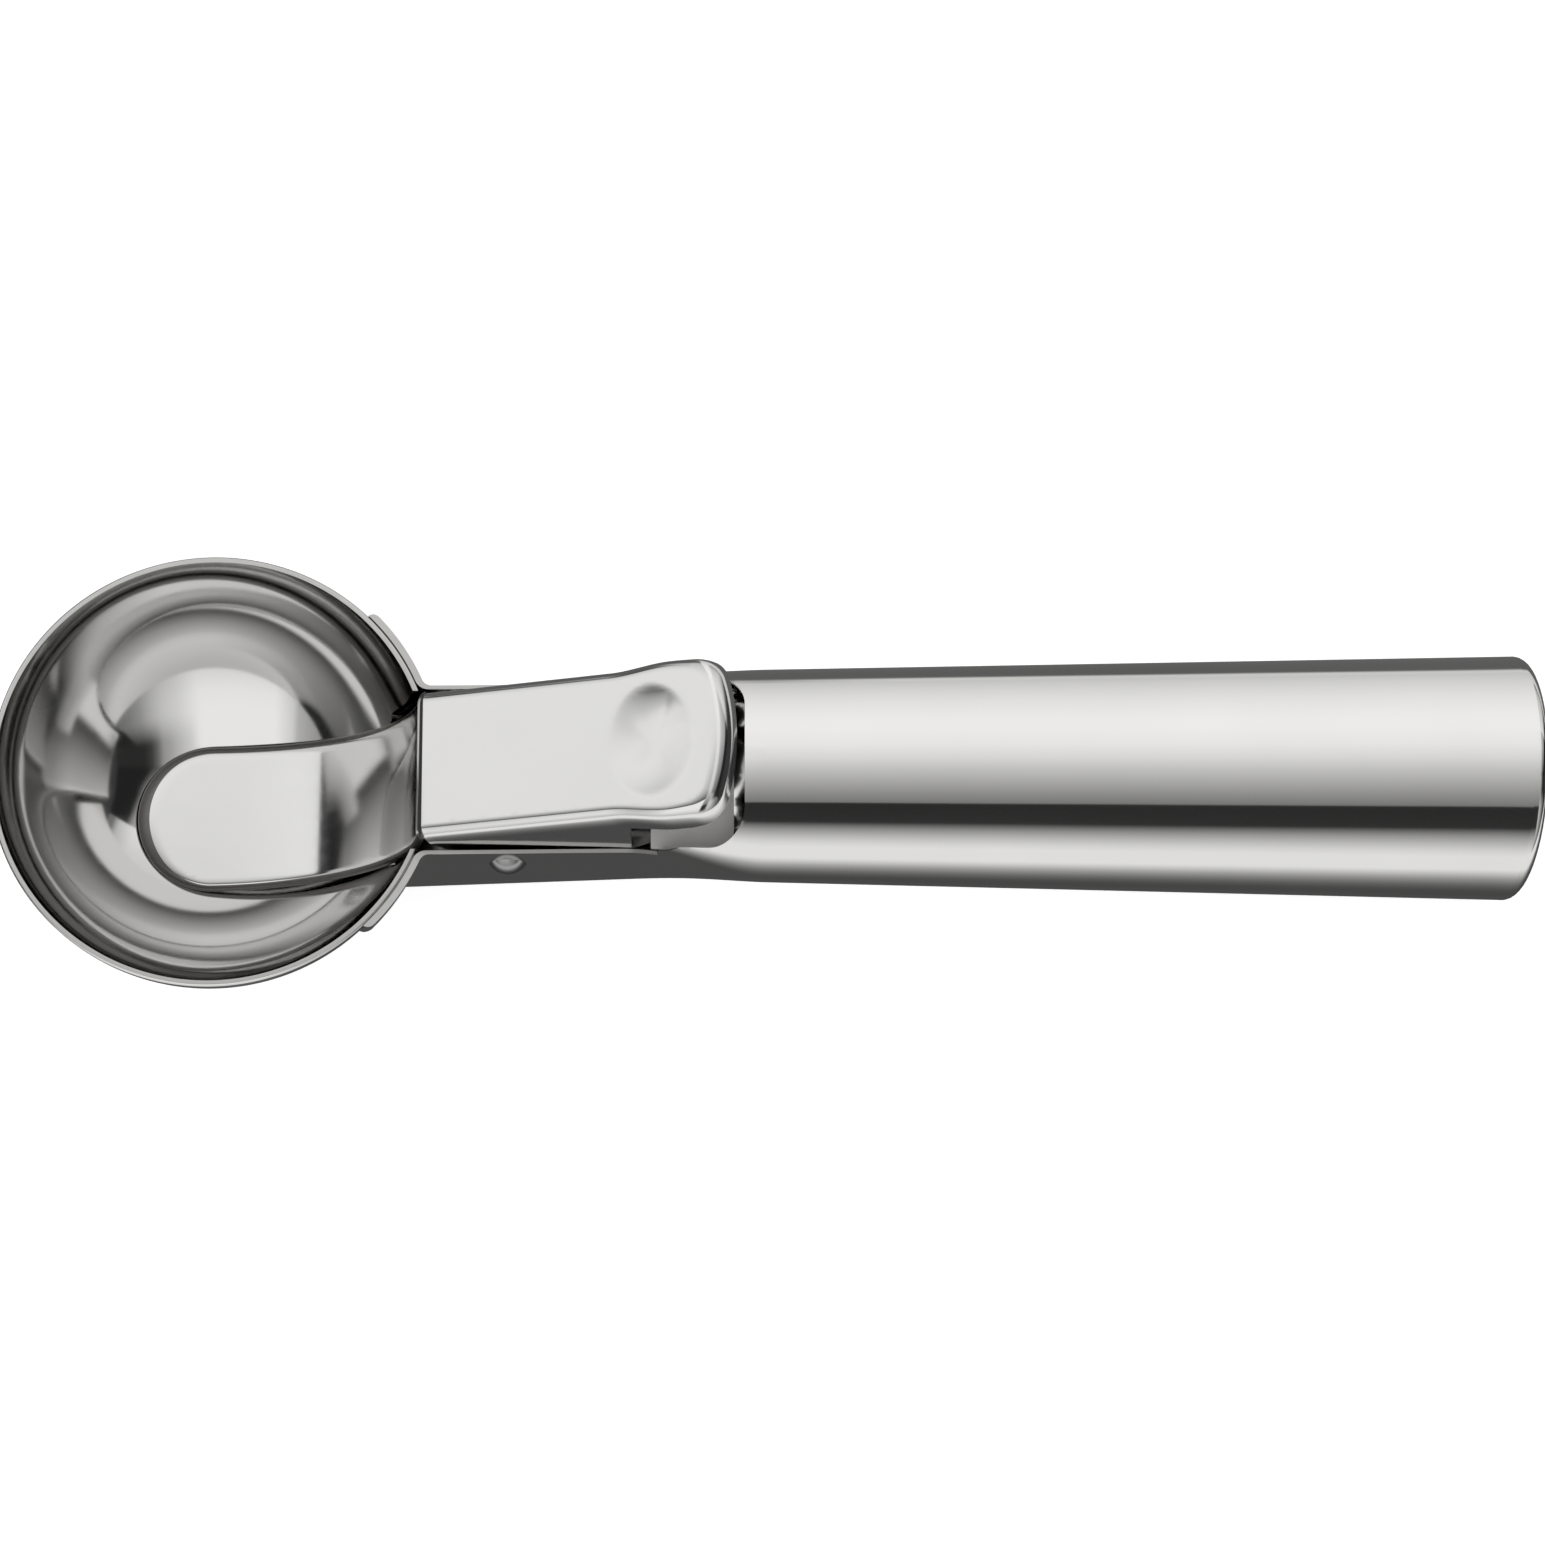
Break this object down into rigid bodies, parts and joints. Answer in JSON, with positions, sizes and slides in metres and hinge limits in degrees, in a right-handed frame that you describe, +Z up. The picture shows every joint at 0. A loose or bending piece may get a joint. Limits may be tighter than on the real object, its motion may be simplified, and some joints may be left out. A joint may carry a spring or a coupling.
{
  "type": "lever ice cream scoop",
  "caption": "Polished steel ice cream scoop: round bowl on a hollow tapered handle, with a sprung thumb lever whose tongue lifts the ball out of the bowl.",
  "frame": {"origin": "on the surface the scoop lies on, under the middle of its overall box", "axes": "+X from the bowl along the handle to its end, +Y across the handle, +Z up out of the bowl"},
  "size_m": [0.1954, 0.056, 0.0422],
  "materials": {
    "polished_steel": "mirror polished",
    "lever_steel": "soft polished",
    "satin_steel": "satin",
    "spring_steel": "drawn wire"
  },
  "bodies": {
    "scoop": {"bowl": "polished_steel", "handle_shell": "polished_steel", "handle_end_cap": "polished_steel", "handle_bulkhead": "satin_steel", "pivot_rivet": "satin_steel", "pivot_sleeve": "satin_steel", "return_spring": "spring_steel"},
    "lever": {"ejector_lever": "lever_steel"}
  },
  "joints": [
    {"name": "lever_press", "type": "hinge", "parent": "scoop", "child": "lever", "pos_m": [-0.03267, 0, 0.01962], "axis": [0, 1, 0], "range_deg": [0, 10.5], "stiffness_Nm_per_rad": 0.9, "springref_deg": -6.88, "deforming": ["return_spring"]}
  ]
}
